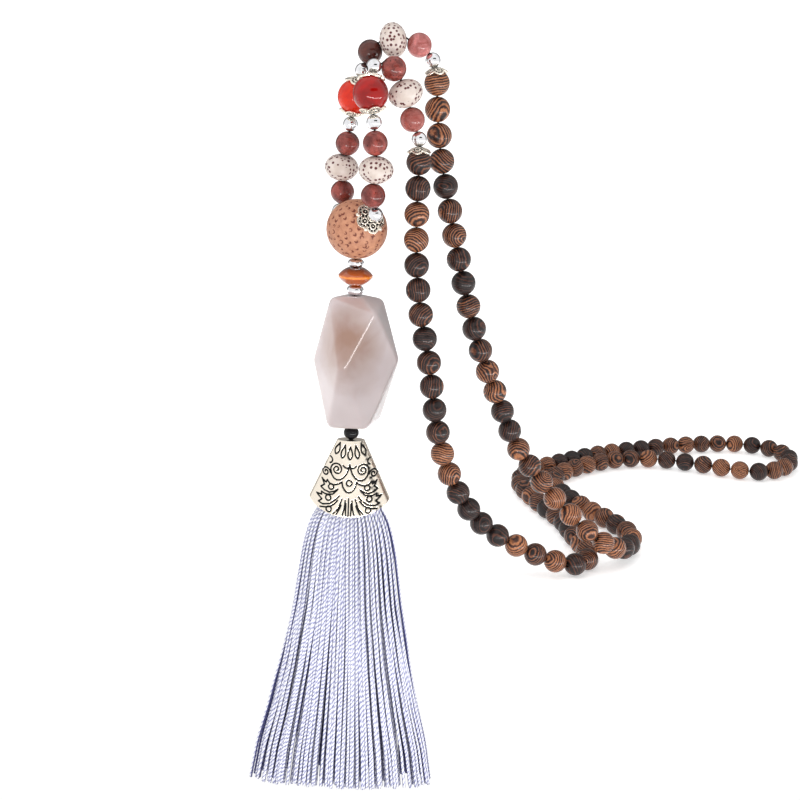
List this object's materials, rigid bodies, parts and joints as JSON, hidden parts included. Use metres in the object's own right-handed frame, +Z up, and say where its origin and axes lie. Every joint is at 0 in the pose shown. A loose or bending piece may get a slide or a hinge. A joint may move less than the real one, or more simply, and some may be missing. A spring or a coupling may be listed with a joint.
{
  "type": "tassel necklace",
  "caption": "Long closed string of round wood beads with jasper, lotus seed, carnelian and silver ornaments, a guru bead, a faceted agate drop and a thread tassel.",
  "frame": {"origin": "underside of the topmost lotus seed, where the string hangs over its support", "axes": "+Z up, +Y away from a viewer who faces the necklace, +X to the viewer's right"},
  "size_m": [0.2266, 0.2093, 0.2536],
  "materials": {
    "flower_cap": "antique silver with black in the hollows",
    "silver_bead": "polished silver",
    "jasper": "polished brownish red stone with darker flecks",
    "lotus_seed": "polished cream seed with small dark red dots",
    "carnelian": "polished translucent orange red stone",
    "wood": "satin dark wood with fine brown and black stripes",
    "thread": "dark waxed thread",
    "guru": "matt tan seed with small pits",
    "amber_disc": "glossy silky orange brown",
    "agate": "polished translucent greyish pink stone",
    "black_bead": "glossy black",
    "cone_cap": "antique silver with a black engraved ornament",
    "tassel_thread": "pale lavender twisted thread"
  },
  "bodies": {
    "root": {"front_flower_cap_guru": "flower_cap", "front_silver_bead_1": "silver_bead", "front_jasper_bead_1": "jasper", "front_lotus_seed_1": "lotus_seed", "front_jasper_bead_2": "jasper", "front_silver_bead_2": "silver_bead", "front_flower_cap_lower": "flower_cap", "front_carnelian_bead": "carnelian", "front_flower_cap_upper": "flower_cap", "front_silver_bead_3": "silver_bead", "front_jasper_bead_3": "jasper", "front_lotus_seed_2": "lotus_seed", "front_jasper_bead_4": "jasper", "front_silver_bead_4": "silver_bead", "front_flower_cap_wood": "flower_cap", "back_flower_cap_guru": "flower_cap", "back_silver_bead_1": "silver_bead", "back_jasper_bead_1": "jasper", "back_lotus_seed_1": "lotus_seed", "back_jasper_bead_2": "jasper", "back_silver_bead_2": "silver_bead", "back_flower_cap_lower": "flower_cap", "back_carnelian_bead": "carnelian", "back_flower_cap_upper": "flower_cap", "back_silver_bead_3": "silver_bead", "back_jasper_bead_3": "jasper", "back_lotus_seed_2": "lotus_seed", "back_jasper_bead_4": "jasper", "back_silver_bead_4": "silver_bead", "back_flower_cap_wood": "flower_cap", "wood_beads_left": "wood", "wood_beads_right": "wood", "loop_thread": "thread", "guru_bead": "guru", "pendant_thread": "thread", "rondelle_upper": "silver_bead", "amber_disc": "amber_disc", "rondelle_lower": "silver_bead", "agate": "agate", "black_bead": "black_bead", "cone_cap": "cone_cap", "tassel": "tassel_thread"}
  },
  "joints": []
}
